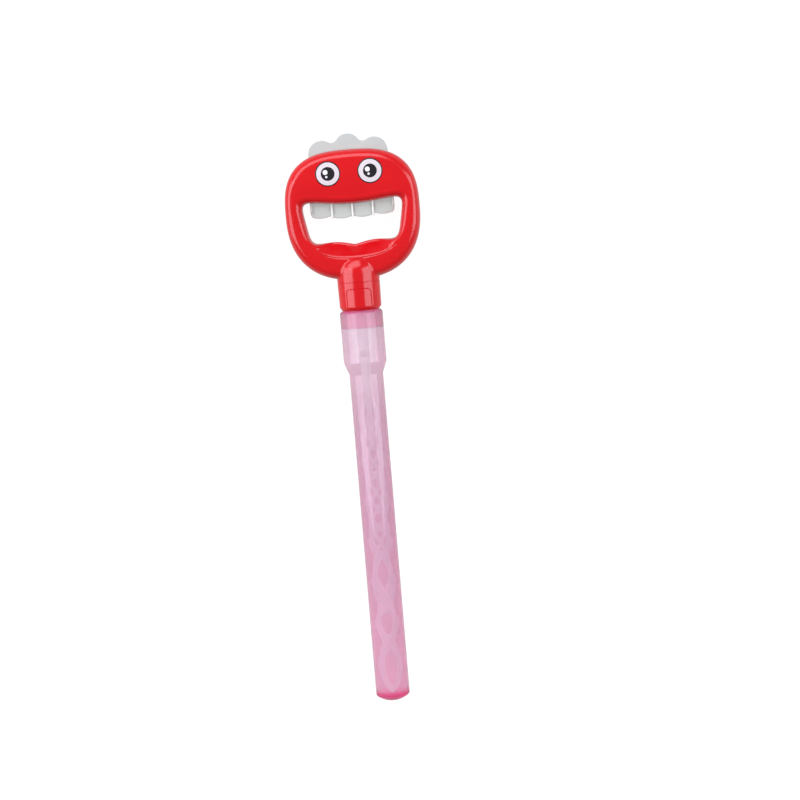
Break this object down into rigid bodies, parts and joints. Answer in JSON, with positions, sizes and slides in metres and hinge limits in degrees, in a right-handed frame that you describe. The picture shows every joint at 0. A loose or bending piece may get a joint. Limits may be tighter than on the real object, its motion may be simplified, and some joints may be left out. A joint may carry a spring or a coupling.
{
  "type": "bubble wand",
  "caption": "Bubble wand: a ring-shaped grip with a toothy face, a see-through soap tube that draws off, and folding arms of loops that fan out from a stem.",
  "frame": {"origin": "middle of the length and width, on the surface that the wand lies on, face up", "axes": "+Y along the wand from the tube's base to the crest, +Z out of the face, +X to the viewer's right"},
  "size_m": [0.085, 0.362, 0.0271],
  "materials": {
    "red_plastic": "glossy",
    "white_plastic": "satin",
    "eye_print": "printed, satin",
    "tube_plastic": "see-through, glossy",
    "deep_pink_plastic": "see-through, glossy",
    "clear_plastic": "milky, satin"
  },
  "bodies": {
    "handle": {"front_shell": "red_plastic", "rear_shell": "red_plastic", "tooth_plate": "white_plastic", "left_eye": "eye_print", "right_eye": "eye_print", "stopper": "deep_pink_plastic", "stem": "clear_plastic", "arm_pin": "clear_plastic", "arm_middle": "clear_plastic"},
    "tube": {"tube": "tube_plastic", "wiper_ring": "deep_pink_plastic"},
    "arm_left_outer": {"arm_left_outer": "clear_plastic"},
    "arm_left_inner": {"arm_left_inner": "clear_plastic"},
    "arm_right_inner": {"arm_right_inner": "clear_plastic"},
    "arm_right_outer": {"arm_right_outer": "clear_plastic"}
  },
  "joints": [
    {"name": "tube_draw", "type": "slide", "parent": "handle", "child": "tube", "axis": [0, -1, 0], "range_m": [0, 0.26], "deforming": ["arm_left_outer", "arm_left_inner", "arm_right_inner", "arm_right_outer"]},
    {"name": "left_outer_spread", "type": "hinge", "parent": "handle", "child": "arm_left_outer", "pos_m": [0, 0.042, 0.01355], "axis": [0, 0, 1], "range_deg": [-30.5, 0]},
    {"name": "left_inner_spread", "type": "hinge", "parent": "handle", "child": "arm_left_inner", "pos_m": [0, 0.042, 0.01355], "axis": [0, 0, 1], "range_deg": [-12.3, 0]},
    {"name": "right_inner_spread", "type": "hinge", "parent": "handle", "child": "arm_right_inner", "pos_m": [0, 0.042, 0.01355], "axis": [0, 0, 1], "range_deg": [0, 12.3]},
    {"name": "right_outer_spread", "type": "hinge", "parent": "handle", "child": "arm_right_outer", "pos_m": [0, 0.042, 0.01355], "axis": [0, 0, 1], "range_deg": [0, 30.5]}
  ],
  "couplings": [
    {"joint": "left_outer_spread", "follows": "tube_draw", "rad_per_m": -2.047},
    {"joint": "left_inner_spread", "follows": "tube_draw", "rad_per_m": -0.8256},
    {"joint": "right_inner_spread", "follows": "tube_draw", "rad_per_m": 0.8256},
    {"joint": "right_outer_spread", "follows": "tube_draw", "rad_per_m": 2.047}
  ]
}
